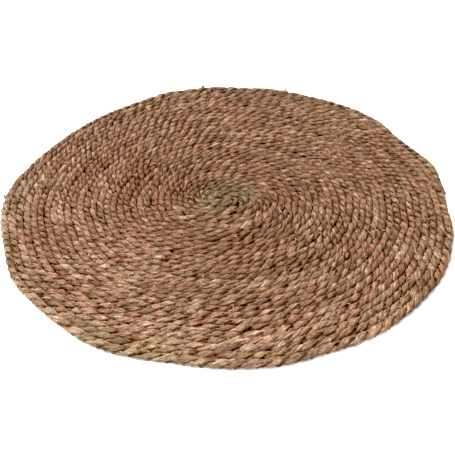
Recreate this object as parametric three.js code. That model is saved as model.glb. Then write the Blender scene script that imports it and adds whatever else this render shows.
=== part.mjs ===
// Round esparto rug: one thick grass rope wound flat in a spiral, each turn sewn to the turn inside it.
// Millimetres, +Z up. The origin is the middle of the rug on the floor, and -Y is the near side.
import * as THREE from 'three';

// Driving sizes of the rug and its rope
const RUG_RADIUS = 500; // mean radius of the rim
const ROPE_TURNS = 32; // whole turns from the middle to the rim
const ROPE_HEIGHT = 15; // the rope as it lies, floor to crown
const START_RADIUS = 8.5; // middle of the rope where its first turn starts
const ROPE_PITCH = (RUG_RADIUS - START_RADIUS) / ROPE_TURNS; // from one turn to the next

// The rope's section, in shares of the pitch across it and of its height
const GROOVE_ACROSS = -0.5; // where a turn meets the turn inside it
const GROOVE_HEIGHT = 0.5;
const SHOULDER_ACROSS = 0.2; // the crown is flattened between two shoulders
const FOOT_INSET = 0.2; // the rim's round side tucks under by this much at the floor

// The outer end of the rope, sewn down against the turn inside it
const END_ANGLE = 1; // degrees counter-clockwise from +X
const END_SLANT = 2; // the cut runs back this many degrees from its inner to its outer side

// The first turns are oval along X: the start is tight, and the oval is at its longest a few turns out
const OVAL_REACH = 9; // how much further the longest oval reaches along X, each way
const OVAL_RADIUS = 35; // radius of the longest oval

// The rope starts behind and to the left of the rug's middle
const START_SHIFT = new THREE.Vector2(-11, 15);
const SHIFT_FADE = 85; // radius over which the shift dies away

// The turns aren't wound evenly. Towards the rim they lie further apart on the near side and closer
// together on the left and right, and towards the middle it is the other way round.
const NEAR_SLACK = 0.07; // shares of the pitch
const SIDE_SQUEEZE = 0.07;

// The rope is thicker in its last few turns, and the turns inside them lie a little closer together
const OUTER_THICKENING = 85; // how strongly, in millimetres
const THICKENING_POWER = 4;

// Dents and bulges of the rim: angle in degrees counter-clockwise from +X, and how far the rim stands
// out from an even spiral there. They die away towards the middle.
const RIM_UNEVENNESS = [
  { angle: 0, out: -2 },
  { angle: 10, out: -5 },
  { angle: 28, out: -17 },
  { angle: 44, out: 1 },
  { angle: 60, out: 0 },
  { angle: 80, out: 6 },
  { angle: 104, out: 12 },
  { angle: 124, out: -6 },
  { angle: 148, out: -11 },
  { angle: 177, out: 6 },
  { angle: 195, out: -3 },
  { angle: 209, out: 4 },
  { angle: 221, out: -1 },
  { angle: 240, out: 4 },
  { angle: 257, out: -7 },
  { angle: 279, out: 5 },
  { angle: 290, out: 2 },
  { angle: 308, out: 11 },
  { angle: 326, out: 11 },
  { angle: 343, out: 6 },
  { angle: 355, out: -3 },
];
const UNEVENNESS_POWER = 2;

// Facets along the rope
const FACET_LENGTH = 42;
const FEWEST_FACETS_A_TURN = 14;

const FULL_TURN = 360;
const GRASS_ROPE = new THREE.MeshStandardMaterial({ color: 0x9c7450, roughness: 0.92, metalness: 0 });

// How far the rim stands out at an angle, eased from one row of the table to the next
function rimOut(angle) {
  const wrapped = THREE.MathUtils.euclideanModulo(angle, FULL_TURN);
  const rows = [...RIM_UNEVENNESS, { angle: FULL_TURN, out: RIM_UNEVENNESS[0].out }];
  const next = rows.findIndex((row) => row.angle > wrapped);
  const before = rows[next - 1];
  const after = rows[next];
  const share = THREE.MathUtils.smoothstep(wrapped, before.angle, after.angle);
  return THREE.MathUtils.lerp(before.out, after.out, share);
}

// How far the turn of a radius lies off the rug's middle
function startShift(evenRadius) {
  return START_SHIFT.clone().multiplyScalar(Math.exp(-((evenRadius / SHIFT_FADE) ** 2)));
}

// A point of the rope: turns along it from the inner end, share of the pitch across it, share of its height
function ropePoint(turn, across, height) {
  const evenRadius = START_RADIUS + ROPE_PITCH * (turn + across);
  const share = evenRadius / RUG_RADIUS;
  const angle = END_ANGLE + FULL_TURN * (ROPE_TURNS - turn); // clockwise from the middle outwards
  const turned = THREE.MathUtils.degToRad(angle);
  const slack = -NEAR_SLACK * Math.sin(turned) - SIDE_SQUEEZE * Math.cos(2 * turned);
  const woundRadius = evenRadius * (1 + slack * (share - 1));
  const thickening = OUTER_THICKENING * share ** THICKENING_POWER * (share - 1);
  const radius = woundRadius + thickening + rimOut(angle) * share ** UNEVENNESS_POWER;
  const oval = OVAL_REACH * (evenRadius / OVAL_RADIUS) * Math.exp(1 - evenRadius / OVAL_RADIUS);
  const shift = startShift(evenRadius);
  return new THREE.Vector3(
    (radius + oval) * Math.cos(turned) + shift.x,
    radius * Math.sin(turned) + shift.y,
    ROPE_HEIGHT * height,
  );
}

// Where the facets start along the rope, in turns, with more facets on the longer turns.
// One more turn than the rope has, because the last groove runs on as the rim's outer side.
function facetTurns() {
  const turns = [];
  for (let turn = 0; turn <= ROPE_TURNS; turn += 1) {
    const length = 2 * Math.PI * (START_RADIUS + ROPE_PITCH * turn);
    const facets = Math.max(FEWEST_FACETS_A_TURN, Math.round(length / FACET_LENGTH));
    for (let facet = 0; facet < facets; facet += 1) turns.push(turn + facet / facets);
  }
  turns.push(ROPE_TURNS + 1 - END_SLANT / FULL_TURN);
  return turns;
}

// Vertices and triangles of the rug's skin
class Skin {
  positions = [];
  triangles = [];

  // Adds a line of points along the rope, and returns each point's number and its place in turns
  line(turns, across, height) {
    return turns.map((turn) => ({ turn, vertex: this.vertex(ropePoint(turn, across, height)) }));
  }

  vertex(point) {
    this.positions.push(point.x, point.y, point.z);
    return this.positions.length / 3 - 1;
  }

  // Fills the strip between an inner and an outer line, whose turns differ by a fixed lag
  strip(inner, outer, lag = 0) {
    let i = 0;
    let j = 0;
    while (i < inner.length - 1 || j < outer.length - 1) {
      const innerNext = inner[i + 1]?.turn ?? Infinity;
      const outerNext = (outer[j + 1]?.turn ?? Infinity) - lag;
      if (innerNext <= outerNext) {
        this.triangles.push(inner[i].vertex, inner[i + 1].vertex, outer[j].vertex);
        i += 1;
      } else {
        this.triangles.push(inner[i].vertex, outer[j + 1].vertex, outer[j].vertex);
        j += 1;
      }
    }
  }

  // Fills a closed loop of vertices with a fan from one vertex
  fan(apex, loop) {
    loop.forEach((vertex, i) => this.triangles.push(apex, vertex, loop[(i + 1) % loop.length]));
  }

  geometry() {
    const geometry = new THREE.BufferGeometry();
    geometry.setAttribute('position', new THREE.Float32BufferAttribute(this.positions, 3));
    geometry.setIndex(this.triangles);
    geometry.computeVertexNormals();
    return geometry;
  }
}

// The whole rug as one closed body, flat underneath
function rugGeometry() {
  const skin = new Skin();
  const turns = facetTurns();
  const onRope = turns.filter((turn) => turn <= ROPE_TURNS);
  const onRim = turns.filter((turn) => turn >= ROPE_TURNS);

  const groove = skin.line(turns, GROOVE_ACROSS, GROOVE_HEIGHT);
  const innerShoulder = skin.line(onRope, -SHOULDER_ACROSS, 1);
  const outerShoulder = skin.line(onRope, SHOULDER_ACROSS, 1);
  const foot = skin.line(onRim, GROOVE_ACROSS - FOOT_INSET, 0);

  const ropeGroove = groove.filter(({ turn }) => turn <= ROPE_TURNS);
  const rimSide = groove.filter(({ turn }) => turn >= ROPE_TURNS);
  const nextGroove = groove.filter(({ turn }) => turn >= 1);
  skin.strip(ropeGroove, innerShoulder);
  skin.strip(innerShoulder, outerShoulder);
  skin.strip(outerShoulder, nextGroove, 1);
  skin.strip(rimSide, foot);

  // The inner end of the rope fills the middle of the first turn
  const firstTurn = groove.filter(({ turn }) => turn <= 1);
  const start = startShift(0);
  const middle = skin.vertex(new THREE.Vector3(start.x, start.y + START_RADIUS / 3, ROPE_HEIGHT));
  const startLoop = [innerShoulder[0], outerShoulder[0], ...firstTurn.reverse()];
  skin.fan(middle, startLoop.map(({ vertex }) => vertex));

  // The cut outer end of the rope, about its core
  const core = skin.vertex(ropePoint(ROPE_TURNS - END_SLANT / FULL_TURN / 2, 0, GROOVE_HEIGHT));
  const ends = [innerShoulder, outerShoulder, rimSide, foot].map((line) => line.at(-1));
  const endLoop = [rimSide[0], foot[0], ...ends.reverse()];
  skin.fan(core, endLoop.map(({ vertex }) => vertex));

  // The flat underside
  const underside = skin.vertex(new THREE.Vector3(0, 0, 0));
  skin.fan(underside, foot.map(({ vertex }) => vertex));
  return skin.geometry();
}

const rug = new THREE.Mesh(rugGeometry(), GRASS_ROPE);
rug.name = 'rug';

const roundEspartoRug = new THREE.Group();
roundEspartoRug.add(rug);

export default roundEspartoRug;
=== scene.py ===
"""Round esparto rug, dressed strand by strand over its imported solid.

One two-strand grass rope is wound flat in a spiral, and each turn is sewn to the turn inside it.
Metres, +Z up. The origin is the middle of the rug on the floor, and -Y is the near side.
"""
import math

import bpy
import numpy as np
from bpy.props import FloatProperty, FloatVectorProperty, IntProperty, PointerProperty
from mathutils import Color, Matrix, Vector


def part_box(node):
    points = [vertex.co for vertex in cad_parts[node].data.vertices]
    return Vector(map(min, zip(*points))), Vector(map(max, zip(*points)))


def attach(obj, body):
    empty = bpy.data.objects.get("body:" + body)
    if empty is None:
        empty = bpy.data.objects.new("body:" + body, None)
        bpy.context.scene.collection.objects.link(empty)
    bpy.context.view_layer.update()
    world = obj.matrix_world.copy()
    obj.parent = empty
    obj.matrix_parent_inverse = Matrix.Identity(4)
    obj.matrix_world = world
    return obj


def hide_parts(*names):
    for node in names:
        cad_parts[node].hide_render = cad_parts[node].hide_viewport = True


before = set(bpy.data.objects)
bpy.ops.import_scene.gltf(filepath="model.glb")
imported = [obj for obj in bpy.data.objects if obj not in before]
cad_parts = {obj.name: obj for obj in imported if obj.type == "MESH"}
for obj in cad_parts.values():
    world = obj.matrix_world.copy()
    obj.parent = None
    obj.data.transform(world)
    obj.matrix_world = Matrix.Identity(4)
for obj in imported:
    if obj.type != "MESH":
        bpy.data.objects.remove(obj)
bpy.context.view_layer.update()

bl_info = {
    "name": "Round Esparto Rug",
    "version": (1, 0, 0),
    "blender": (4, 5, 0),
    "location": "View3D > Sidebar > Rug",
    "description": "Winds a round rug from a two-strand grass rope and sews its turns together",
    "category": "Add Mesh",
}

RUG_NODE = "rug"
RUG_BODY = "root"
FULL_TURN = 360.0
MM = 0.001
UPWARDS = np.array([0.0, 0.0, 1.0])

# The wound rope follows the solid's spiral
START_RADIUS = 8.5 * MM
END_ANGLE = 1.0
# Its strands start half a turn earlier, inside the solid's first turn, and stop this share of a turn
# before its frayed end
FIRST_TURN = -0.55
END_CUT = 0.0035
OVAL_REACH = 9 * MM
OVAL_RADIUS = 35 * MM
START_SHIFT = (-11 * MM, 15 * MM)
SHIFT_FADE = 85 * MM
# The rope's first half turn is pulled to the left, where it fills the oval middle
START_PULL = -10 * MM
PULL_TURNS = 0.6
NEAR_SLACK = 0.07
SIDE_SQUEEZE = 0.07
OUTER_THICKENING = 85 * MM
THICKENING_POWER = 4
UNEVENNESS_POWER = 2
# Dents and bulges of the rim: degrees counter-clockwise from +X, and millimetres out from an even spiral
RIM_UNEVENNESS = {
    0: -2, 10: -5, 28: -17, 44: 1, 60: 0, 80: 6, 104: 12, 124: -6, 148: -11, 177: 6, 195: -3,
    209: 4, 221: -1, 240: 4, 257: -7, 279: 5, 290: 2, 308: 11, 326: 11, 343: 6, 355: -3,
}
# Slow wandering of the turns: waves round the rug, and their length across it and height in millimetres
WANDER = (
    {"round": 5, "across": 310, "height": 0.9},
    {"round": 9, "across": -170, "height": 0.8},
    {"round": 16, "across": 120, "height": 0.4},
    {"round": 27, "across": -85, "height": 0.25},
    {"round": 41, "across": 64, "height": 0.2},
)
# The wandering grows out of the middle and mostly dies away at the rim
WANDER_GROWTH = 4
WANDER_DECAY = 12
WANDER_LEFT = 0.3

# A strand's section, in shares of the rope's half width and half height
ROPE_FULLNESS = 1.1
OFFSET_ACROSS = 0.3
OFFSET_UP = 0.45
SIDE_REACH = 0.55
TOP_REACH = 0.56
INNER_REACH = 0.58
SIDE_HALF_WIDTH = 0.57
TOP_HALF_WIDTH = 0.84
UNDER_HALF_WIDTH = 1.2
SECTION_POWER = 2.2
# Underneath, the rope spreads against its neighbours by this share, from this height down
SKIRT = 0.45
SKIRT_TOP = -0.05
SKIRT_DROP = 0.3
# The rug's outer side bulges where a strand passes it, and is drawn in between
RIM_CREST = 0.98
RIM_NOTCH = 0.72
# A strand that reaches less far out than this isn't stretched to the full bulge
RIM_LEAST = 0.5
# The strands are twisted more loosely on the near and far sides than on the left and right,
# and most loosely on the near side
FRONT_BACK_LOOSENESS = 0.11
NEAR_LOOSENESS = 0.07
# Blades in a ring round each strand, which turn with this share of the strands' own twist
RING_BLADES = 18
BLADE_TWIST = 0.5
# A blade's section narrows to its tips
BLADE_TIP = 0.12
BLADE_TAPER = 0.7
# Columns of points round a strand: fine where it shows, coarse underneath
SHOWN_COLUMNS = 10
SHOWN_FROM = -25.0
SHOWN_TO = 205.0
HIDDEN_COLUMNS = 3
STRAND_GIRTH = 29 * MM
FLOOR_CLEARANCE = 0.2 * MM
# Added to the seed for the sways that both strands share
BOTH_STRANDS = 100


def ease(share):
    """Smooth step from 0 to 1."""
    share = np.clip(share, 0.0, 1.0)
    return share * share * (3 - 2 * share)


def smooth_noise(rng, along, spacing):
    """Noise from -1 to 1 along a length, eased between random values one spacing apart."""
    place = along / spacing
    before = place.astype(int)
    values = rng.uniform(-1, 1, before.max() + 2)
    return values[before] + (values[before + 1] - values[before]) * ease(place - before)


def layered_noise(rng, along, layers):
    """A sum of smooth noises: (reach, spacing) for each layer."""
    return sum(reach * smooth_noise(rng, along, spacing) for reach, spacing in layers)


def rim_out(degrees):
    """How far the rim stands out at each angle, eased from one row of the table to the next."""
    angles = np.array([*RIM_UNEVENNESS, FULL_TURN])
    outs = np.array([*RIM_UNEVENNESS.values(), RIM_UNEVENNESS[0]]) * MM
    wrapped = np.mod(degrees, FULL_TURN)
    before = np.searchsorted(angles, wrapped, side="right") - 1
    share = (wrapped - angles[before]) / (angles[before + 1] - angles[before])
    return outs[before] + (outs[before + 1] - outs[before]) * ease(share)


def wander(turned, radius):
    """Slow wandering of the turns in and out, alike in neighbouring turns."""
    out = np.zeros_like(radius)
    for wave in WANDER:
        crest = wave["round"] * turned + 2 * math.pi * radius / (wave["across"] * MM)
        out += wave["height"] * MM * np.sin(crest + wave["round"] ** 2)
    return out


def even_pitch(sizes):
    """From one turn to the next, if they were wound evenly."""
    return (sizes.rug_radius - START_RADIUS) / sizes.rope_turns


def rope_place(sizes, turns, across=0.0):
    """Points in plan on the rope: turns along it, and the share of the pitch across it."""
    even_radius = START_RADIUS + even_pitch(sizes) * (turns + across)
    share = even_radius / sizes.rug_radius
    degrees = END_ANGLE + FULL_TURN * (sizes.rope_turns - turns)
    turned = np.radians(degrees)
    slack = -NEAR_SLACK * np.sin(turned) - SIDE_SQUEEZE * np.cos(2 * turned)
    radius = even_radius * (1 + slack * (share - 1)) + rim_out(degrees) * share**UNEVENNESS_POWER
    radius += OUTER_THICKENING * share**THICKENING_POWER * (share - 1)
    wandering = ease(share * WANDER_GROWTH) * ease((1 - share) * WANDER_DECAY + WANDER_LEFT)
    radius += wander(turned, even_radius) * wandering
    oval = OVAL_REACH * even_radius / OVAL_RADIUS * np.exp(1 - even_radius / OVAL_RADIUS)
    shift = np.exp(-((even_radius / SHIFT_FADE) ** 2))[..., None] * np.array(START_SHIFT)
    pull = START_PULL * ease((FIRST_TURN + PULL_TURNS - turns) / PULL_TURNS)
    return np.stack([(radius + oval) * np.cos(turned) + pull, radius * np.sin(turned)], axis=-1) + shift


class WoundRope:
    """The rope's middle line from its inner to its outer end, stepped evenly along its length."""

    FINE_STEPS = 60000
    # The narrowest and widest that it gets, in shares of the even pitch
    NARROWEST = 0.8
    WIDEST = 1.3

    def __init__(self, sizes):
        fine = np.linspace(FIRST_TURN, sizes.rope_turns - END_CUT, self.FINE_STEPS)
        gone = np.linalg.norm(np.diff(rope_place(sizes, fine), axis=0), axis=1)
        lengths = np.concatenate([[0.0], np.cumsum(gone)])
        self.length = lengths[-1]
        self.along = np.linspace(0.0, self.length, round(self.length / sizes.section_step) + 1)
        self.turn = np.interp(self.along, lengths, fine)
        self.middle = rope_place(sizes, self.turn)
        tangent = np.gradient(self.middle, self.along, axis=0)
        self.tangent = tangent / np.linalg.norm(tangent, axis=1, keepdims=True)
        self.outward = np.stack([-self.tangent[:, 1], self.tangent[:, 0]], axis=1)
        pitch = even_pitch(sizes)
        span = rope_place(sizes, self.turn, 0.5) - rope_place(sizes, self.turn, -0.5)
        width = (span * self.outward).sum(axis=1)
        self.width = np.clip(width, self.NARROWEST * pitch, self.WIDEST * pitch)
        self.thickness = self.width / pitch
        self.radius_share = np.linalg.norm(self.middle, axis=1) / sizes.rug_radius
        self.place = self.middle / np.abs(self.middle).max()


def column_angles():
    """Angles of a section's points, counted from outwards over the top, starting underneath."""
    shown = np.linspace(SHOWN_FROM, SHOWN_TO, SHOWN_COLUMNS)
    hidden = np.linspace(SHOWN_TO, SHOWN_FROM + FULL_TURN, HIDDEN_COLUMNS + 2)[1:-1]
    return np.radians(np.concatenate([shown, hidden]))


class Strand:
    """One of the rope's two strands: a grid of points, sections by columns, with tones for its finish."""

    # Uneven winding: how far, and the length from one sway to the next
    PHASE_SWAYS = ((1.0, 0.15), (0.6, 0.05))
    SWELLS = ((0.14, 0.026), (0.09, 0.1))
    WIDTH_SWELL = (0.12, 0.03)
    OFFSET_SWAY = (0.15, 0.04)
    HEIGHT_SWAY = (0.08, 0.05)
    ACROSS_SWAY = (0.1, 0.06)
    OWN_ACROSS_SWAY = (0.1, 0.03)
    BLADE_SWAY = (0.4, 0.05)
    # Single blades on the strand's surface
    RELIEFS = ((0.12, 0.035), (0.05, 0.012))
    BLADE_TONES = ((0.75, 0.05), (0.35, 0.015))
    # How olive the grass is, from bump to bump and along the strand
    OLIVE = 0.18
    OWN_OLIVE = 0.11
    SLOW_OLIVE = ((0.2, 0.09), (0.12, 0.4))
    # The left and back are redder than the right and front, except in the outer turns
    RED_SIDE = (-0.12, 0.084)
    # The olive middle: how olive, where it lies, how far it is full and over what length it dies away
    MIDDLE_OLIVE = 0.7
    OLIVE_MIDDLE = (7 * MM, 24 * MM)
    OLIVE_REACH = 36 * MM
    OLIVE_FADE = 52 * MM
    # The outer turns, in shares of the rug's radius, and how olive they are
    RIM_FROM = 0.88
    RIM_FADE = 0.1
    RIM_OLIVE = 0.26
    # How light the grass is, from bump to bump and along the strand
    TONE = 0.46
    OWN_TONE = 0.15
    SLOW_TONE = (0.255, 0.11)
    # Painted light: the near left side is lighter than the far right one, and the outer turns a little more
    PAINTED_LIGHT_SIDE = (-0.035, -0.07)
    RIM_PAINTED_LIGHT_SIDE = (-0.04, -0.022)
    RIM_PAINTED_LIGHT = 0.057
    # The grass darkens towards the middle, and most in the very middle
    MIDDLE_SHADE = 0.18
    MIDDLE_FADE = 0.85
    EYE_SHADE = 0.24
    EYE_FADE = 48 * MM
    # The painted shade between the strands: how far out it starts, and how much further in it is full
    CORE_REACH = 0.82
    CORE_DEPTH = 0.3
    # The painted shade in the gaps between turns: how dark, and where it starts and is full, outwards and
    # downwards
    FLANK_SHADE = 0.9
    FLANK_FROM = 0.52
    FLANK_WIDTH = 0.45
    FLANK_TOP = 0.52
    FLANK_DROP = 0.55
    # The ends: lengths over which they taper, how thick they still are, and how the outer one is laid
    START_TAPER = 0.01
    START_SHARE = 0.6
    END_TAPER = 0.1
    END_SHARE = 0.4
    END_TUCK = 0.9
    END_HEIGHT = 0.35

    def __init__(self, sizes, rope, number):
        rng = np.random.default_rng(sizes.seed + number)
        both = np.random.default_rng(sizes.seed + BOTH_STRANDS)
        along = rope.along
        columns = column_angles()
        self.along = along
        self.around = columns
        away = np.maximum(np.linalg.norm(rope.middle, axis=1), OVAL_RADIUS)
        right, back = rope.middle.T / away
        looseness = FRONT_BACK_LOOSENESS * (back**2 - right**2) - NEAR_LOOSENESS * back
        lay = sizes.lay_length * rope.thickness * (1 + looseness)
        wound = 2 * math.pi * np.cumsum(along[1] / lay)
        self.phase = number * math.pi - wound + layered_noise(both, along, self.PHASE_SWAYS)
        self.twist = BLADE_TWIST * wound + layered_noise(rng, along, [self.BLADE_SWAY])
        angles = np.broadcast_to(columns, (len(along), len(columns)))

        reach = self.section_reach(rng, angles) + self.on_blades(rng, self.RELIEFS)
        sway = 1 + layered_noise(rng, along, [self.OFFSET_SWAY])
        out = (OFFSET_ACROSS * sway * np.cos(self.phase))[:, None] + reach * np.cos(angles)
        up = (OFFSET_UP * sway * np.sin(self.phase))[:, None] + reach * np.sin(angles)
        out = np.where(self.on_rim(rope, out), out * self.scallops(out), out)
        up += layered_noise(both, along, [self.HEIGHT_SWAY])[:, None]
        out += layered_noise(both, along, [self.ACROSS_SWAY])[:, None]
        out += layered_noise(rng, along, [self.OWN_ACROSS_SWAY])[:, None]
        skirt = np.where(self.on_rim(rope, out), 0, SKIRT)
        out *= 1 + skirt * ease((SKIRT_TOP - up) / SKIRT_DROP)
        self.inside = self.gap_depth(rope, out, up)
        self.points = self.laid(sizes, rope, out, up)
        self.core = self.points.mean(axis=1)

        self.blade = self.on_blades(rng, self.BLADE_TONES)
        self.tone = self.stretch_tones(rng, rope)
        self.olive = self.olive_shares(rng, rope)

    def gap_depth(self, rope, out, up):
        """How deep each point lies in the gaps between strands and between turns, 0 to 1: its painted shade.
        """
        between_strands = np.clip((self.CORE_REACH - np.hypot(out, up)) / self.CORE_DEPTH, 0, 1)
        beside = ease((np.abs(out) - self.FLANK_FROM) / self.FLANK_WIDTH)
        below = ease((self.FLANK_TOP - up) / self.FLANK_DROP)
        between_turns = np.where(self.on_rim(rope, out), 0.0, self.FLANK_SHADE * beside * below)
        # The first turn is wound too tight for gaps, so the painted shade fades in over it
        wound = ease(rope.turn)[:, None]
        return np.maximum(between_strands, between_turns) * wound

    def scallops(self, out):
        """How much wider or narrower each section is on the rug's outer side."""
        passing = np.cos(self.phase)
        reach = RIM_NOTCH + (RIM_CREST - RIM_NOTCH) * np.maximum(0, passing)
        stretch = reach / np.maximum(out.max(axis=1), RIM_LEAST)
        return np.where(passing < 0, np.minimum(stretch, 1), stretch)[:, None]

    def on_rim(self, rope, out):
        """Whether each point lies on the rug's outer side."""
        return (rope.turn > rope.turn[-1] - 1)[:, None] & (out > 0)

    def section_reach(self, rng, angles):
        """How far the strand's skin lies from its own middle, before its single blades are raised."""
        swell = 1 + layered_noise(rng, self.along, self.SWELLS)
        height = np.sin(self.phase)
        width = SIDE_HALF_WIDTH + (TOP_HALF_WIDTH - SIDE_HALF_WIDTH) * np.maximum(0, height)
        width += (UNDER_HALF_WIDTH - SIDE_HALF_WIDTH) * np.maximum(0, -height)
        width += layered_noise(rng, self.along, [self.WIDTH_SWELL])
        lean = angles - self.phase[:, None]
        outer = SIDE_REACH + (TOP_REACH - SIDE_REACH) * np.abs(height)
        depth = np.where(np.cos(lean) > 0, outer[:, None], INNER_REACH)
        power = (np.abs(np.cos(lean)) / depth) ** SECTION_POWER
        power += (np.abs(np.sin(lean)) / width[:, None]) ** SECTION_POWER
        return swell[:, None] * power ** (-1 / SECTION_POWER)

    def on_blades(self, rng, layers):
        """Noise along each of a ring of blades that twist round the strand, read at the columns of points."""
        ring = np.stack([layered_noise(rng, self.along, layers) for _ in range(RING_BLADES)], axis=1)
        place = (self.around[None, :] + self.twist[:, None]) / (2 * math.pi) * RING_BLADES
        before = np.floor(place).astype(int)
        share = place - before
        low = np.take_along_axis(ring, before % RING_BLADES, axis=1)
        high = np.take_along_axis(ring, (before + 1) % RING_BLADES, axis=1)
        return low + (high - low) * share

    def laid(self, sizes, rope, out, up):
        """Points in the rug from shares of the rope's half width outwards and half height upwards."""
        start = ease(self.along / self.START_TAPER + self.START_SHARE)
        end = self.END_SHARE + (1 - self.END_SHARE) * ease((rope.length - self.along) / self.END_TAPER)
        taper = (start * end)[:, None]
        half_width = rope.width[:, None] / 2 * ROPE_FULLNESS
        half_height = sizes.rope_height / 2
        out = half_width * (out * taper - self.END_TUCK * (1 - taper))
        height = half_height * (self.END_HEIGHT + (1 - self.END_HEIGHT) * taper + up * taper)
        plan = rope.middle[:, None, :] + out[:, :, None] * rope.outward[:, None, :]
        return np.concatenate([plan, np.maximum(height, FLOOR_CLEARANCE)[:, :, None]], axis=2)

    def bumps(self):
        """The number of the bump that each section belongs to, counted along the strand."""
        number = np.floor((-self.phase + math.pi / 2) / (2 * math.pi)).astype(int)
        return number - number.min()

    def from_middle(self, rope):
        """How far each section lies from the middle of the olive patch."""
        return np.linalg.norm(rope.middle - np.array(self.OLIVE_MIDDLE), axis=1)

    def in_outer_turns(self, rope):
        """How far each section belongs to the outer turns, 0 to 1."""
        return ease((rope.radius_share - self.RIM_FROM) / self.RIM_FADE)

    def stretch_tones(self, rng, rope):
        """How light each stretch of the strand is, 0 to 1, with a step from bump to bump and painted light to
        the near left.
        """
        bumps = self.bumps()
        own = rng.normal(0, 1, bumps.max() + 1)[bumps]
        slow = layered_noise(rng, self.along, [self.SLOW_TONE])
        # Painted light: lighter to the near left and in the outer turns
        painted_light = rope.place @ np.array(self.PAINTED_LIGHT_SIDE)
        rim_painted_light = rope.place @ np.array(self.RIM_PAINTED_LIGHT_SIDE) + self.RIM_PAINTED_LIGHT
        shade = self.MIDDLE_SHADE * (1 - ease(rope.radius_share / self.MIDDLE_FADE))
        shade += self.EYE_SHADE * (1 - ease(self.from_middle(rope) / self.EYE_FADE))
        tone = self.TONE + self.OWN_TONE * own + slow + painted_light - shade
        return np.clip(tone + rim_painted_light * self.in_outer_turns(rope), 0, 1)

    def olive_shares(self, rng, rope):
        """How olive each stretch is, 0 to 1: most in the middle and in the outer turns."""
        bumps = self.bumps()
        own = rng.normal(0, 1, bumps.max() + 1)[bumps]
        slow = layered_noise(rng, self.along, self.SLOW_OLIVE)
        middle = 1 - ease((self.from_middle(rope) - self.OLIVE_REACH) / self.OLIVE_FADE)
        rim = self.in_outer_turns(rope)
        red_side = rope.place @ np.array(self.RED_SIDE)
        share = self.OLIVE + self.OWN_OLIVE * own + slow + self.MIDDLE_OLIVE * middle
        return np.clip(share + self.RIM_OLIVE * rim - red_side * (1 - rim), 0, 1)


def bilinear(grid, section, column):
    """Values of a grid of sections by columns at places between its points."""
    low_section = np.clip(section.astype(int), 0, grid.shape[0] - 2)
    low_column = np.clip(column.astype(int), 0, grid.shape[1] - 2)
    part_section = (section - low_section)[..., None]
    part_column = (column - low_column)[..., None]

    def across(row):
        return grid[row, low_column] * (1 - part_column) + grid[row, low_column + 1] * part_column

    return across(low_section) * (1 - part_section) + across(low_section + 1) * part_section


def unit(vectors):
    """Vectors made one long."""
    return vectors / np.maximum(np.linalg.norm(vectors, axis=-1, keepdims=True), 1e-9)


def many_tubes(sections, columns, count):
    """Faces of many closed tubes of like grids, one after the other in one mesh."""
    side, start, end = tube_faces(sections, columns)
    shift = sections * columns
    faces = (side[None] + shift * np.arange(count)[:, None, None]).reshape(-1, 4).tolist()
    for number in range(count):
        faces.append([vertex + shift * number for vertex in start])
        faces.append([vertex + shift * number for vertex in end])
    return faces


def blade_points(middle, normal, width, thickness):
    """Blades with a ridge along them, over lines of points: width is for each line, narrowed to the tips."""
    steps = middle.shape[1]
    narrow = np.sin(np.linspace(BLADE_TIP, math.pi - BLADE_TIP, steps)) ** BLADE_TAPER
    tangent = unit(np.gradient(middle, axis=1))
    normal = unit(normal - tangent * (normal * tangent).sum(axis=-1, keepdims=True))
    side = np.cross(tangent, normal)
    half = (width[:, None] / 2 * narrow)[..., None]
    rise = (thickness * narrow)[None, :, None]
    return np.stack([middle + side * half, middle + normal * rise, middle - side * half], axis=2)


def node(tree, kind, inputs=None, **settings):
    """A new shader node with its settings, and its inputs set to values or linked to other nodes' outputs."""
    made = tree.nodes.new(kind)
    for name, value in settings.items():
        setattr(made, name, value)
    for socket, value in (inputs or {}).items():
        if isinstance(value, bpy.types.NodeSocket):
            tree.links.new(value, made.inputs[socket])
        else:
            made.inputs[socket].default_value = value
    return made


def new_material(name):
    """An empty material, its node tree and its shader."""
    material = bpy.data.materials.new(name)
    material.use_nodes = True
    tree = material.node_tree
    return material, tree, tree.nodes["Principled BSDF"]


def linear(colour):
    """A picked colour as the renderer's linear one, with full alpha."""
    return (*Color(colour).from_srgb_to_scene_linear(), 1.0)


def ramp(tree, factor, stops):
    """A colour ramp through picked colours: (place, colour) for each stop."""
    made = node(tree, "ShaderNodeValToRGB", {"Fac": factor})
    elements = made.color_ramp.elements
    while len(elements) < len(stops):
        elements.new(0.5)
    for element, (place, colour) in zip(elements, stops):
        element.position = place
        element.color = linear(colour)
    return made.outputs["Color"]


def math_node(tree, operation, *values, clamp=False):
    """A sum, a product or the like of values and other nodes' outputs."""
    made = node(tree, "ShaderNodeMath", dict(enumerate(values)), operation=operation, use_clamp=clamp)
    return made.outputs[0]


def attribute(tree, name):
    """A value that the mesh holds for each of its points."""
    return node(tree, "ShaderNodeAttribute", attribute_name=name).outputs["Fac"]


def mix_colours(tree, blend, factor, first, second):
    """Two colours mixed or multiplied."""
    inputs = {0: factor, 6: first, 7: second}
    return node(tree, "ShaderNodeMix", inputs, data_type="RGBA", blend_type=blend).outputs[2]


def spread(tree, value, to=(0.0, 1.0), start=(0.0, 1.0)):
    """A value spread from a starting range to another."""
    ends = {"From Min": start[0], "From Max": start[1], "To Min": to[0], "To Max": to[1]}
    return node(tree, "ShaderNodeMapRange", {"Value": value, **ends}).outputs[0]


def streaks(tree, place, scale, detail, noise_range):
    """Noise from 0 to 1, drawn out along the blades."""
    mapped = node(tree, "ShaderNodeMapping", {"Vector": place, "Scale": (*scale, 1.0)})
    inputs = {"Vector": mapped.outputs[0], "Scale": 1.0, "Detail": detail, "Roughness": 0.6}
    noise = node(tree, "ShaderNodeTexNoise", inputs)
    return spread(tree, noise.outputs["Fac"], start=noise_range)


def shaded(tree, colour, factor):
    """A colour made lighter or darker by a factor."""
    grey = node(tree, "ShaderNodeCombineColor", {0: factor, 1: factor, 2: factor}).outputs[0]
    return mix_colours(tree, "MULTIPLY", 1.0, colour, grey)


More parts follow.
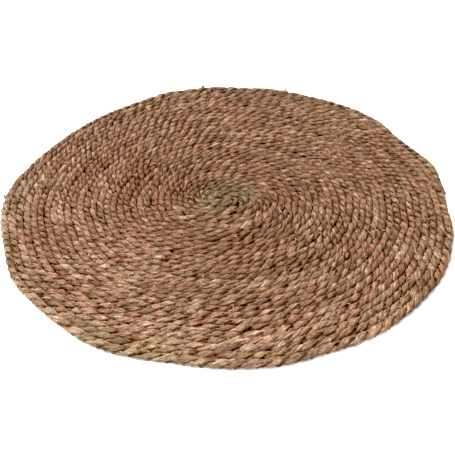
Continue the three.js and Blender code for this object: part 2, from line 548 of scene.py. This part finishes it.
# Streaks of the grass: cycles per metre along and around the strand, detail, and the noise's range
FIBRES = ((70.0, 1100.0), 3.0, (0.3, 0.7))
BLADES = ((35.0, 260.0), 2.0, (0.3, 0.7))
FLECKS = ((240.0, 430.0), 2.0, (0.38, 0.62))
# How far a blade and its grain are lighter or darker than their stretch of the strand
BLADE_CONTRAST = 0.3
GRAIN_CONTRAST = 0.6
# How dark and how light fibres, flecks and the blades' edges are; the edges' dark is partly painted shade
FIBRE_SHADES = (0.7, 1.3)
FLECK_SHADES = (0.72, 1.3)
EDGE_SHADES = (0.36, 1.08)
EDGE_WIDTH = 0.2
# Where the colours lie from dark to light
REDDISH_AT = 0.45
TAN_AT = 0.72
OLIVE_AT = 0.4
# The fine ribs, the fibres' roughness, and the gloss, which dies away into the gaps
RIB_STRENGTH = 0.8
RIB_HEIGHT = 0.8 * MM
FIBRE_RIBS = 0.5
ROUGHNESS = (0.42, 0.65)
GLOSS = 0.32
GLOSS_DEPTH = 0.6


def grass_material(colours):
    """Dry twisted grass: single blades in tan, reddish brown, olive and straw, with fine ribs along them, and
    painted shade in the gaps.
    """
    material, tree, shader = new_material("dry_grass")
    place = node(tree, "ShaderNodeUVMap", uv_map="strand").outputs["UV"]
    fibres = streaks(tree, place, *FIBRES)
    blades = streaks(tree, place, *BLADES)
    flecks = streaks(tree, place, *FLECKS)

    blade, tone = attribute(tree, "blade"), attribute(tree, "tone")
    light = math_node(tree, "MULTIPLY_ADD", blade, BLADE_CONTRAST, tone)
    grain = math_node(tree, "MULTIPLY_ADD", blades, GRAIN_CONTRAST, -GRAIN_CONTRAST / 2)
    light = math_node(tree, "ADD", light, grain, clamp=True)
    dark_reddish = ((0.0, colours.brown), (REDDISH_AT, colours.reddish))
    light_reddish = ((TAN_AT, colours.tan), (1.0, colours.straw))
    reddish = ramp(tree, light, (*dark_reddish, *light_reddish))
    olives = ((0.0, colours.dark_olive), (OLIVE_AT, colours.olive), (1.0, colours.pale_olive))
    olive = ramp(tree, light, olives)
    colour = mix_colours(tree, "MIX", attribute(tree, "olive"), reddish, olive)
    colour = shaded(tree, colour, spread(tree, fibres, FIBRE_SHADES))
    colour = shaded(tree, colour, spread(tree, flecks, FLECK_SHADES))
    # Dark lines at the blades' edges: partly the blades' own colour, partly painted shade in the creases
    # between them
    edge = math_node(tree, "ABSOLUTE", math_node(tree, "SUBTRACT", blades, 0.5))
    colour = shaded(tree, colour, spread(tree, edge, EDGE_SHADES, (0.0, EDGE_WIDTH)))
    # Painted shade: the strands' sides darkened, and the gaps between strands and turns darker still
    inside = attribute(tree, "inside")
    colour = mix_colours(tree, "MULTIPLY", inside, colour, linear(colours.painted_flank_shade))
    depth = math_node(tree, "MULTIPLY", inside, inside)
    colour = mix_colours(tree, "MULTIPLY", depth, colour, linear(colours.gap))
    tree.links.new(colour, shader.inputs["Base Color"])

    tree.links.new(spread(tree, fibres, ROUGHNESS), shader.inputs["Roughness"])
    ribs = math_node(tree, "ADD", math_node(tree, "MULTIPLY", fibres, FIBRE_RIBS), blades)
    ribs = math_node(tree, "ADD", ribs, flecks)
    raised = {"Height": ribs, "Strength": RIB_STRENGTH, "Distance": RIB_HEIGHT}
    bump = node(tree, "ShaderNodeBump", raised)
    tree.links.new(bump.outputs[0], shader.inputs["Normal"])
    gloss = spread(tree, inside, (GLOSS, 0.0), (0.0, GLOSS_DEPTH))
    tree.links.new(gloss, shader.inputs["Specular IOR Level"])
    return material


# The thread's dull stretches, in shares of its colour, and the depth of its twist
DULL_THREAD = 0.8
TWIST_DEPTH = 0.15 * MM
# The floor's dim patches, and the light of its own that keeps its shadows faint
DIM_FLOOR = 0.99
FLOOR_LIGHT = 0.3
WHITE = (1.0, 1.0, 1.0, 1.0)


def thread_material(colours):
    """Pale twisted thread with a slight gloss."""
    material, tree, shader = new_material("cream_thread")
    place = node(tree, "ShaderNodeTexCoord").outputs["Object"]
    cloud = node(tree, "ShaderNodeTexNoise", {"Vector": place, "Scale": 90.0, "Detail": 2.0})
    dull = tuple(channel * DULL_THREAD for channel in colours.thread)
    colour = ramp(tree, cloud.outputs["Fac"], ((0.3, dull), (0.6, colours.thread)))
    tree.links.new(colour, shader.inputs["Base Color"])
    twist = node(tree, "ShaderNodeTexWave", {"Vector": place, "Scale": 900.0}, bands_direction="DIAGONAL")
    bump = node(tree, "ShaderNodeBump", {"Height": twist.outputs["Fac"], "Distance": TWIST_DEPTH})
    tree.links.new(bump.outputs[0], shader.inputs["Normal"])
    shader.inputs["Roughness"].default_value = 0.55
    shader.inputs["Specular IOR Level"].default_value = 0.25
    return material


def floor_material(colours):
    """Plain pale floor with a faint unevenness."""
    material, tree, shader = new_material("pale_floor")
    place = node(tree, "ShaderNodeTexCoord").outputs["Object"]
    cloud = node(tree, "ShaderNodeTexNoise", {"Vector": place, "Scale": 3.0, "Detail": 2.0})
    dim = tuple(channel * DIM_FLOOR for channel in colours.floor)
    colour = ramp(tree, cloud.outputs["Fac"], ((0.3, dim), (0.7, colours.floor)))
    tree.links.new(colour, shader.inputs["Base Color"])
    shader.inputs["Roughness"].default_value = 0.9
    shader.inputs["Emission Color"].default_value = WHITE
    shader.inputs["Emission Strength"].default_value = FLOOR_LIGHT
    return material


def shared_material(name, make, colours):
    """The material of that name, made on first use."""
    return bpy.data.materials.get(name) or make(colours)


def new_object(context, name, points, faces, material):
    """A smooth mesh object in the scene."""
    mesh = bpy.data.meshes.new(name)
    mesh.from_pydata(points.tolist(), [], faces)
    mesh.polygons.foreach_set("use_smooth", np.ones(len(mesh.polygons), dtype=bool))
    mesh.materials.append(material)
    mesh.update()
    piece = bpy.data.objects.new(name, mesh)
    context.collection.objects.link(piece)
    return piece


def set_attribute(mesh, name, values):
    """A value for each point of a mesh, for its finish to read."""
    mesh.attributes.new(name, "FLOAT", "POINT").data.foreach_set("value", np.ravel(values))


def tube_faces(sections, columns):
    """Faces of a closed tube over a grid of points: the side as an array of quads, then its two ends."""
    first = np.arange(sections - 1)[:, None] * columns + np.arange(columns)[None, :]
    after = np.arange(sections - 1)[:, None] * columns + (np.arange(columns)[None, :] + 1) % columns
    side = np.stack([first, after, after + columns, first + columns], axis=-1).reshape(-1, 4)
    start = list(range(columns))[::-1]
    end = list(range((sections - 1) * columns, sections * columns))
    return side, start, end


# A strand's map for baking: rows that fill a square, set in from each other and from its sides, and above
# them the two ends as discs
ROW_INSET = 0.06
SIDE_INSET = 0.002
DISC_RADIUS = 0.3
DISC_PLACES = (0.25, 0.75)


def strand_maps(mesh, strand, chosen):
    """UV maps of a strand: metres along and around it for its finish, and rows in a square for baking."""
    sections = chosen.stop - chosen.start
    columns = len(strand.around)
    corner_section = np.array([0, 0, 1, 1])
    corner_column = np.array([0, 1, 1, 0])
    section = np.arange(sections - 1)[:, None, None] + corner_section
    column = np.arange(columns)[None, :, None] + corner_column
    section, column = np.broadcast_arrays(section, column)

    steps = np.diff(np.append(strand.around, strand.around[0] + 2 * math.pi))
    around = np.concatenate([[0.0], np.cumsum(steps)]) / (2 * math.pi)
    along = strand.along[chosen]
    cap = np.zeros((2 * columns, 2))
    turned = strand.twist[chosen][section] / (2 * math.pi)
    metres = np.stack([along[section], (around[column] + turned) * STRAND_GIRTH], axis=-1).reshape(-1, 2)
    mesh.uv_layers.new(name="strand").uv.foreach_set("vector", np.vstack([metres, cap]).ravel())

    rows = round(math.sqrt((along[-1] - along[0]) / STRAND_GIRTH))
    a_row = math.ceil((sections - 1) / rows)
    row = (np.arange(sections - 1) // a_row)[:, None, None] * np.ones_like(section)
    across = SIDE_INSET + (section - row * a_row) / a_row * (1 - 2 * SIDE_INSET)
    height = (row + ROW_INSET + around[column] * (1 - 2 * ROW_INSET)) / (rows + 1)
    square = np.stack([across, height], axis=-1).reshape(-1, 2)
    spin = np.linspace(0, 2 * math.pi, columns, endpoint=False)
    disc = np.stack([np.cos(spin), np.sin(spin)], axis=1) * DISC_RADIUS / (rows + 1)
    middle = (rows + 0.5) / (rows + 1)
    ends = [disc[::-1] + (DISC_PLACES[0], middle), disc + (DISC_PLACES[1], middle)]
    mesh.uv_layers.new(name="OFBake").uv.foreach_set("vector", np.vstack([square, *ends]).ravel())


def length_setting(name, description, default, **more):
    """A length that a user can set."""
    return FloatProperty(name=name, description=description, default=default, unit="LENGTH", **more)


class RugSizes(bpy.types.PropertyGroup):
    """Sizes of the rug, its rope and its sewing."""

    rug_radius: length_setting("Rug radius", "Mean radius of the rim", 0.5, min=0.2)
    rope_turns: IntProperty(
        name="Turns", description="Whole turns of rope from the middle to the rim", default=32, min=4
    )
    rope_height: length_setting("Rope height", "Rope as it lies, floor to crown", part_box(RUG_NODE)[1][2])
    lay_length: length_setting("Lay", "Length in which a strand winds round once", 0.0465, precision=4)
    section_step: length_setting("Section step", "Distance between a strand's sections", 0.00348, precision=5)
    stitch_spacing: length_setting("Stitch spacing", "Distance between stitches", 0.036)
    thread_thickness: length_setting("Thread", "Thickness of the sewing thread", 0.0013, precision=4)
    loose_blades: IntProperty(
        name="Loose blades", description="Blades that lie loose on the strands", default=1300
    )
    seed: IntProperty(name="Seed", description="Start of every random draw", default=7)


def colour_setting(name, description, default):
    """A colour that a user can pick."""
    return FloatVectorProperty(name=name, description=description, default=default, subtype="COLOR_GAMMA")


class RugColours(bpy.types.PropertyGroup):
    """Colours of the grass, the thread and the floor."""

    tan: colour_setting("Tan", "Most of the dry grass", (0.586, 0.446, 0.34))
    reddish: colour_setting("Reddish", "Reddish brown blades", (0.536, 0.372, 0.266))
    brown: colour_setting("Brown", "Darkest blades", (0.399, 0.242, 0.143))
    dark_olive: colour_setting("Dark olive", "Darkest greenish blades", (0.352, 0.294, 0.18))
    olive: colour_setting("Olive", "Greenish stretches", (0.44, 0.373, 0.253))
    pale_olive: colour_setting("Pale olive", "Light greenish blades", (0.567, 0.488, 0.351))
    straw: colour_setting("Straw", "Palest blades", (0.676, 0.558, 0.476))
    # Painted shade: these darken the strands' sides and the gaps between strands and turns
    painted_flank_shade: colour_setting("Flank", "Shade of the strands' sides", (0.77, 0.64, 0.52))
    gap: colour_setting("Gap", "Shade between the strands", (0.27, 0.19, 0.12))
    thread: colour_setting("Thread", "Sewing thread", (0.86, 0.75, 0.6))
    floor: colour_setting("Floor", "Pale floor", (0.97, 0.97, 0.97))


class StageSettings(bpy.types.PropertyGroup):
    """Camera, light and floor."""

    eye: FloatVectorProperty(
        name="Eye", description="Where the camera stands", default=(-0.0004, -1.585, 1.2067), unit="LENGTH"
    )
    look_down: FloatProperty(
        name="Look down",
        description="How far below the horizon the camera looks",
        default=0.675425,
        precision=5,
        unit="ROTATION",
    )
    roll: FloatProperty(
        name="Roll", description="Lean of the camera", default=0.0242, precision=5, unit="ROTATION"
    )
    lens: FloatProperty(name="Lens", description="Focal length", default=70.05, unit="CAMERA")
    sky: FloatProperty(name="Sky", description="Strength of the even light from all round", default=0.43)
    window: FloatProperty(name="Window", description="Strength of the soft light from one side", default=5.6)
    window_softness: FloatProperty(
        name="Window softness", description="Width of the side light", default=0.45, unit="ROTATION"
    )
    window_place: FloatVectorProperty(
        name="Window place",
        description="Where the side light comes from",
        default=(-1.0, 1.0, 1.75),
        unit="LENGTH",
    )
    softbox: FloatProperty(
        name="Softbox", description="Strength of the overhead lamp", default=36.0, unit="POWER"
    )
    softbox_size: length_setting("Softbox size", "Width of the overhead lamp", 1.4)
    softbox_place: FloatVectorProperty(
        name="Softbox place",
        description="Where the overhead lamp hangs",
        default=(-0.45, -0.8, 1.75),
        unit="LENGTH",
    )
    black_level: FloatVectorProperty(
        name="Black level",
        description="Tones that print as black",
        default=(0.008, 0.016, 0.016),
        precision=4,
    )
    floor_size: length_setting("Floor size", "Side of the floor", 240.0)


class StageOperator(bpy.types.Operator):
    """Lay the floor and set up the camera and the soft light"""

    bl_idname = "esparto_rug.stage"
    bl_label = "Stage"

    def execute(self, context):
        stage = context.scene.rug_stage
        self.lay_floor(context, stage)
        self.set_camera(context, stage)
        self.set_light(context, stage)
        return {"FINISHED"}

    def lay_floor(self, context, stage):
        half = stage.floor_size / 2
        points = np.array([(-half, -half, 0), (half, -half, 0), (half, half, 0), (-half, half, 0)])
        material = shared_material("pale_floor", floor_material, context.scene.rug_colours)
        new_object(context, "floor", points, [(0, 1, 2, 3)], material)

    def set_camera(self, context, stage):
        camera = bpy.data.objects.new("camera", bpy.data.cameras.new("camera"))
        camera.data.lens = stage.lens
        tilt = Matrix.Rotation(math.pi / 2 - stage.look_down, 4, "X")
        camera.matrix_world = Matrix.Translation(stage.eye) @ tilt @ Matrix.Rotation(-stage.roll, 4, "Z")
        context.collection.objects.link(camera)
        context.scene.camera = camera

    def set_light(self, context, stage):
        world = bpy.data.worlds.new("soft_sky")
        world.use_nodes = True
        sky = world.node_tree.nodes["Background"]
        sky.inputs["Color"].default_value = WHITE
        sky.inputs["Strength"].default_value = stage.sky
        context.scene.world = world
        tones = context.scene.view_settings
        tones.view_transform = "Standard"
        tones.use_curve_mapping = True
        tones.curve_mapping.black_level = stage.black_level
        tones.curve_mapping.update()
        sun = bpy.data.lights.new("window", "SUN")
        sun.energy = stage.window
        sun.angle = stage.window_softness
        self.add_lamp(context, sun, stage.window_place)
        softbox = bpy.data.lights.new("softbox", "AREA")
        softbox.shape = "DISK"
        softbox.size = stage.softbox_size
        softbox.energy = stage.softbox
        self.add_lamp(context, softbox, stage.softbox_place)

    def add_lamp(self, context, light, place):
        lamp = bpy.data.objects.new(light.name, light)
        lamp.location = place
        lamp.rotation_mode = "QUATERNION"
        lamp.rotation_quaternion = (-Vector(place)).to_track_quat("-Z", "Y")
        context.collection.objects.link(lamp)


class StrandsOperator(bpy.types.Operator):
    """Wind the rope's two strands, each in an inner and an outer stretch of like length"""

    bl_idname = "esparto_rug.strands"
    bl_label = "Strands"

    def execute(self, context):
        sizes = context.scene.rug_sizes
        material = shared_material("dry_grass", grass_material, context.scene.rug_colours)
        rope = WoundRope(sizes)
        half = len(rope.along) // 2
        stretches = {"inner": slice(0, half + 1), "outer": slice(half, len(rope.along))}
        for number, strand_name in enumerate(("first_strand", "second_strand")):
            strand = Strand(sizes, rope, number)
            for stretch, chosen in stretches.items():
                self.add_stretch(context, f"{strand_name}_{stretch}", strand, chosen, material)
        return {"FINISHED"}

    def add_stretch(self, context, name, strand, chosen, material):
        points = strand.points[chosen]
        sections, columns, _ = points.shape
        side, start, end = tube_faces(sections, columns)
        piece = new_object(context, name, points.reshape(-1, 3), [*side.tolist(), start, end], material)
        mesh = piece.data
        strand_maps(mesh, strand, chosen)
        set_attribute(mesh, "blade", strand.blade[chosen])
        # Depth in the gaps, which sets each point's painted shade and dims its gloss
        set_attribute(mesh, "inside", strand.inside[chosen])
        set_attribute(mesh, "tone", np.repeat(strand.tone[chosen], columns))
        set_attribute(mesh, "olive", np.repeat(strand.olive[chosen], columns))
        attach(piece, RUG_BODY)
        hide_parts(RUG_NODE)


# How far single blades are darker or lighter, and the metres from one blade to the next in their streaks
BLADE_SHADES = (-0.6, 0.6)
BLADE_STEP = 0.37


def finish_blades(context, name, points, seed, olive, tone):
    """One mesh of many blades with the grass finish: points are blades by steps by columns."""
    count, steps, columns, _ = points.shape
    rng = np.random.default_rng(seed)
    material = shared_material("dry_grass", grass_material, context.scene.rug_colours)
    faces = many_tubes(steps, columns, count)
    piece = new_object(context, name, points.reshape(-1, 3), faces, material)
    each = steps * columns
    mesh = piece.data
    set_attribute(mesh, "blade", np.repeat(rng.uniform(*BLADE_SHADES, count), each))
    # Loose blades get no painted shade
    set_attribute(mesh, "inside", np.zeros(count * each))
    set_attribute(mesh, "tone", np.repeat(np.clip(rng.normal(*tone, count), 0, 1), each))
    set_attribute(mesh, "olive", np.repeat(np.clip(rng.normal(*olive, count), 0, 1), each))
    along = np.linalg.norm(np.diff(points.mean(axis=2), axis=1), axis=-1).cumsum(axis=1)
    along = np.concatenate([np.zeros((count, 1)), along], axis=1)
    along = along + np.arange(count)[:, None] * BLADE_STEP
    place = np.empty((count, steps, columns, 2))
    place[..., 0] = along[:, :, None]
    place[..., 1] = np.arange(columns) * MM
    corners = np.empty(len(mesh.loops), dtype=np.int32)
    mesh.loops.foreach_get("vertex_index", corners)
    mesh.uv_layers.new(name="strand").uv.foreach_set("vector", place.reshape(-1, 2)[corners].ravel())
    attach(piece, RUG_BODY)


class ThreadOperator(bpy.types.Operator):
    """Sew each turn to the turn inside it with short slanted stitches"""

    bl_idname = "esparto_rug.thread"
    bl_label = "Sewing thread"

    SIDES = 5
    STEPS = 5
    # The rope's last stretch has no stitches, and each stitch is off its even place by a share of the spacing
    END_LEFT = 0.02
    SPACING_SWAY = 0.2
    # How far a stitch reaches into each of the two turns, in shares of the rope's width, and along them
    REACH = 0.22
    SLANT = 2.6 * MM
    SLANT_SHARES = (0.5, 1.3)
    # Its ends' height and its arch, in shares of the rope's height
    HEIGHTS = (0.3, 0.6)
    ARCH = 0.1
    # One stitch in a few stands higher out of its groove
    LIFTED = 0.07
    LIFT = 0.36
    SEED = 400

    def execute(self, context):
        sizes = context.scene.rug_sizes
        points = self.tubes(self.lines(sizes, WoundRope(sizes)), sizes.thread_thickness / 2)
        material = shared_material("cream_thread", thread_material, context.scene.rug_colours)
        faces = many_tubes(self.STEPS, self.SIDES, len(points))
        piece = new_object(context, "sewing_thread", points.reshape(-1, 3), faces, material)
        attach(piece, RUG_BODY)
        return {"FINISHED"}

    def lines(self, sizes, rope):
        """Middle lines of the stitches, each across the groove between two turns."""
        rng = np.random.default_rng(self.SEED)
        first = np.interp(1.0, rope.turn, rope.along)
        places = np.arange(first, rope.length - self.END_LEFT, sizes.stitch_spacing)
        count = len(places)
        sway = rng.uniform(-self.SPACING_SWAY, self.SPACING_SWAY, count)
        places = places + sway * sizes.stitch_spacing
        at = np.round(places / rope.along[1]).astype(int)
        width = rope.width[at][:, None]
        groove = rope.middle[at] - rope.outward[at] * width / 2
        share = np.linspace(-1, 1, self.STEPS)
        slant = self.SLANT * rng.uniform(*self.SLANT_SHARES, count) * np.where(np.arange(count) % 2, 1, -1)
        plan = (
            groove[:, None, :]
            + rope.outward[at][:, None, :] * (share[None, :, None] * self.REACH * width[:, None])
            + rope.tangent[at][:, None, :] * (share[None, :] * slant[:, None])[..., None]
        )
        height = rng.uniform(*self.HEIGHTS, count) + self.LIFT * (rng.random(count) < self.LIFTED)
        height = height[:, None] + self.ARCH * (1 - share**2)
        return np.concatenate([plan, (height * sizes.rope_height)[..., None]], axis=2)

    def tubes(self, middle, radius):
        """Rings of points round the stitches' middle lines."""
        tangent = unit(np.gradient(middle, axis=1))
        side = unit(np.cross(tangent, UPWARDS))
        up = np.cross(side, tangent)
        spin = np.linspace(0, 2 * math.pi, self.SIDES, endpoint=False)
        ring = side[:, :, None, :] * np.cos(spin)[:, None] + up[:, :, None, :] * np.sin(spin)[:, None]
        return middle[:, :, None, :] + ring * radius


class BladesOperator(bpy.types.Operator):
    """Lay loose blades along the strands, with their tips lifted"""

    bl_idname = "esparto_rug.blades"
    bl_label = "Loose blades"

    STEPS = 8
    LENGTHS = (0.016, 0.045)
    WIDTHS = (1.1 * MM, 2.6 * MM)
    THICKNESS = 0.35 * MM
    LIFTS = (0.2 * MM, 2.2 * MM)
    # No blade starts near a strand's ends. More places than needed are tried, because those where the
    # strand lies low drop out
    ENDS_LEFT = 0.1
    LOWEST = -0.3
    TRIES = 4
    # Columns of the strand that blades start on, how far they drift across them, and the outermost ones
    START_COLUMNS = (2.5, SHOWN_COLUMNS - 3.5)
    DRIFT = 1.1
    OUTERMOST = (0.5, SHOWN_COLUMNS - 1.5)
    # Mean and spread over the blades
    OLIVE = (0.4, 0.25)
    TONE = (0.6, 0.18)
    SEED = 300

    def execute(self, context):
        sizes = context.scene.rug_sizes
        rope = WoundRope(sizes)
        parts = [self.on_strand(sizes, Strand(sizes, rope, number), number) for number in (0, 1)]
        finish_blades(context, "loose_blades", np.concatenate(parts), self.SEED, self.OLIVE, self.TONE)
        return {"FINISHED"}

    def on_strand(self, sizes, strand, number):
        """Blades that follow one strand where it lies on top."""
        rng = np.random.default_rng(self.SEED + number)
        count = sizes.loose_blades // 2
        step = strand.along[1]
        start = rng.uniform(self.ENDS_LEFT, strand.along[-1] - self.ENDS_LEFT, count * self.TRIES)
        phase = strand.phase[np.round(start / step).astype(int)]
        start = start[np.sin(phase) > self.LOWEST][:count]
        share = np.linspace(0, 1, self.STEPS)
        length = rng.uniform(*self.LENGTHS, count)
        section = (start[:, None] + length[:, None] * share) / step
        column = rng.uniform(*self.START_COLUMNS, count)[:, None]
        column = column + rng.normal(0, self.DRIFT, count)[:, None] * share
        column = np.clip(column, *self.OUTERMOST)
        skin = bilinear(strand.points, section, column)
        core = bilinear(strand.core[:, None, :].repeat(2, axis=1), section, np.zeros_like(section))
        normal = unit(skin - core)
        tips = rng.uniform(0, 1, (count, 2)) ** 3 * (self.LIFTS[1] - self.LIFTS[0])
        lift = self.LIFTS[0] + tips[:, :1] * (1 - share) ** 3 + tips[:, 1:] * share**3
        width = rng.uniform(*self.WIDTHS, count)
        return blade_points(skin + normal * lift[..., None], normal, width, self.THICKNESS)


class FrayOperator(bpy.types.Operator):
    """Fray the rope's outer end, and let short tufts stand out of the rim"""

    bl_idname = "esparto_rug.fray"
    bl_label = "Frayed end and tufts"

    STEPS = 7
    WIDTHS = (1.0 * MM, 2.8 * MM)
    THICKNESS = 0.3 * MM
    CURL = 0.5
    # Mean and spread over the blades
    OLIVE = (0.15, 0.15)
    TONE = (0.42, 0.2)
    # The rope's end: heights are shares of the rope's height, places across it are shares of its width,
    # and a fan is a mean and a spread
    END_BLADES = 34
    END_LENGTHS = (0.008, 0.022)
    END_OVERLAP = (0.018, 0.036)
    END_ACROSS = (-0.75, -0.3)
    END_HEIGHTS = (0.2, 0.75)
    END_FAN = (-0.05, 0.22)
    END_DROOP = (0.1, 0.5)
    # The tufts on the rim, in the same measures, at angles in degrees counter-clockwise from +X
    TUFT_ANGLES = (96.5, 71.8, 175.9, 241.8)
    TUFT_BLADES = 14
    TUFT_LENGTHS = (0.006, 0.014)
    TUFT_ACROSS = 0.25
    TUFT_SPREAD = 5 * MM
    TUFT_HEIGHTS = (0.5, 0.95)
    TUFT_FAN = (0.0, 0.7)
    TUFT_RISE = (-0.1, 0.5)
    SEED = 500

    def execute(self, context):
        sizes = context.scene.rug_sizes
        rope = WoundRope(sizes)
        rng = np.random.default_rng(self.SEED)
        lines = [self.end_lines(rng, sizes, rope)]
        for angle in self.TUFT_ANGLES:
            lines.append(self.tuft_lines(rng, sizes, rope, angle))
        middle = np.concatenate(lines)
        middle[..., 2] = np.maximum(middle[..., 2], FLOOR_CLEARANCE)
        normal = np.broadcast_to(UPWARDS, middle.shape)
        width = rng.uniform(*self.WIDTHS, len(middle))
        points = blade_points(middle, normal, width, self.THICKNESS)
        finish_blades(context, "frayed_blades", points, self.SEED, self.OLIVE, self.TONE)
        return {"FINISHED"}

    def end_lines(self, rng, sizes, rope):
        """Middle lines of the blades that run on past the rope's end, fanned out and drooping."""
        count = self.END_BLADES
        tangent, outward = rope.tangent[-1], rope.outward[-1]
        back = rng.uniform(*self.END_OVERLAP, count)
        across = rng.uniform(*self.END_ACROSS, count) * rope.width[-1]
        foot = rope.middle[-1] - tangent * back[:, None] + outward * across[:, None]
        height = rng.uniform(*self.END_HEIGHTS, count) * sizes.rope_height
        fan = rng.normal(*self.END_FAN, count)
        length = rng.uniform(*self.END_LENGTHS, count)
        droop = rng.uniform(*self.END_DROOP, count) * sizes.rope_height
        return self.lines(foot, height, tangent, outward, fan, length, -droop)

    def tuft_lines(self, rng, sizes, rope, angle):
        """Middle lines of the blades of one tuft that stands out of the rim at an angle."""
        count = self.TUFT_BLADES
        turn = sizes.rope_turns - (angle - END_ANGLE) / FULL_TURN
        at = np.searchsorted(rope.turn, turn)
        foot = rope.middle[at] + rope.outward[at] * rope.width[at] * self.TUFT_ACROSS
        beside = rng.uniform(-self.TUFT_SPREAD, self.TUFT_SPREAD, count)
        foot = foot + rope.tangent[at] * beside[:, None]
        height = rng.uniform(*self.TUFT_HEIGHTS, count) * sizes.rope_height
        fan = rng.normal(*self.TUFT_FAN, count)
        length = rng.uniform(*self.TUFT_LENGTHS, count)
        rise = rng.uniform(*self.TUFT_RISE, count) * sizes.rope_height
        return self.lines(foot, height, rope.outward[at], rope.tangent[at], fan, length, rise)

    def lines(self, foot, height, ahead, beside, fan, length, rise):
        """Curved lines from their feet: ahead, fanned out beside it, and rising towards their tips."""
        share = np.linspace(0, 1, self.STEPS)
        heading = unit(ahead + beside * fan[:, None])
        plan = foot[:, None, :] + heading[:, None, :] * (length[:, None] * share)[..., None]
        plan = plan + beside * (fan * length)[:, None, None] * (share**2)[:, None] * self.CURL
        up = height[:, None] + rise[:, None] * share**2
        return np.concatenate([plan, up[..., None]], axis=2)


class RugPanel(bpy.types.Panel):
    """The rug's pieces and settings"""

    bl_idname = "VIEW3D_PT_esparto_rug"
    bl_label = "Esparto Rug"
    bl_space_type = "VIEW_3D"
    bl_region_type = "UI"
    bl_category = "Rug"

    def draw(self, context):
        layout = self.layout
        for operator in OPERATORS:
            layout.operator(operator.bl_idname)
        for name, group in SETTINGS.items():
            box = layout.box()
            for setting in group.__annotations__:
                box.prop(getattr(context.scene, name), setting)


SETTINGS = {"rug_sizes": RugSizes, "rug_colours": RugColours, "rug_stage": StageSettings}
OPERATORS = (StageOperator, StrandsOperator, ThreadOperator, BladesOperator, FrayOperator)
CLASSES = (*SETTINGS.values(), *OPERATORS, RugPanel)


def register():
    for made in CLASSES:
        bpy.utils.register_class(made)
    for name, group in SETTINGS.items():
        setattr(bpy.types.Scene, name, PointerProperty(type=group))


def unregister():
    for name in SETTINGS:
        delattr(bpy.types.Scene, name)
    for made in reversed(CLASSES):
        bpy.utils.unregister_class(made)


def main():
    register()
    bpy.ops.esparto_rug.stage()
    bpy.ops.esparto_rug.strands()
    bpy.ops.esparto_rug.thread()
    bpy.ops.esparto_rug.blades()
    bpy.ops.esparto_rug.fray()


if __name__ == "__main__":
    main()
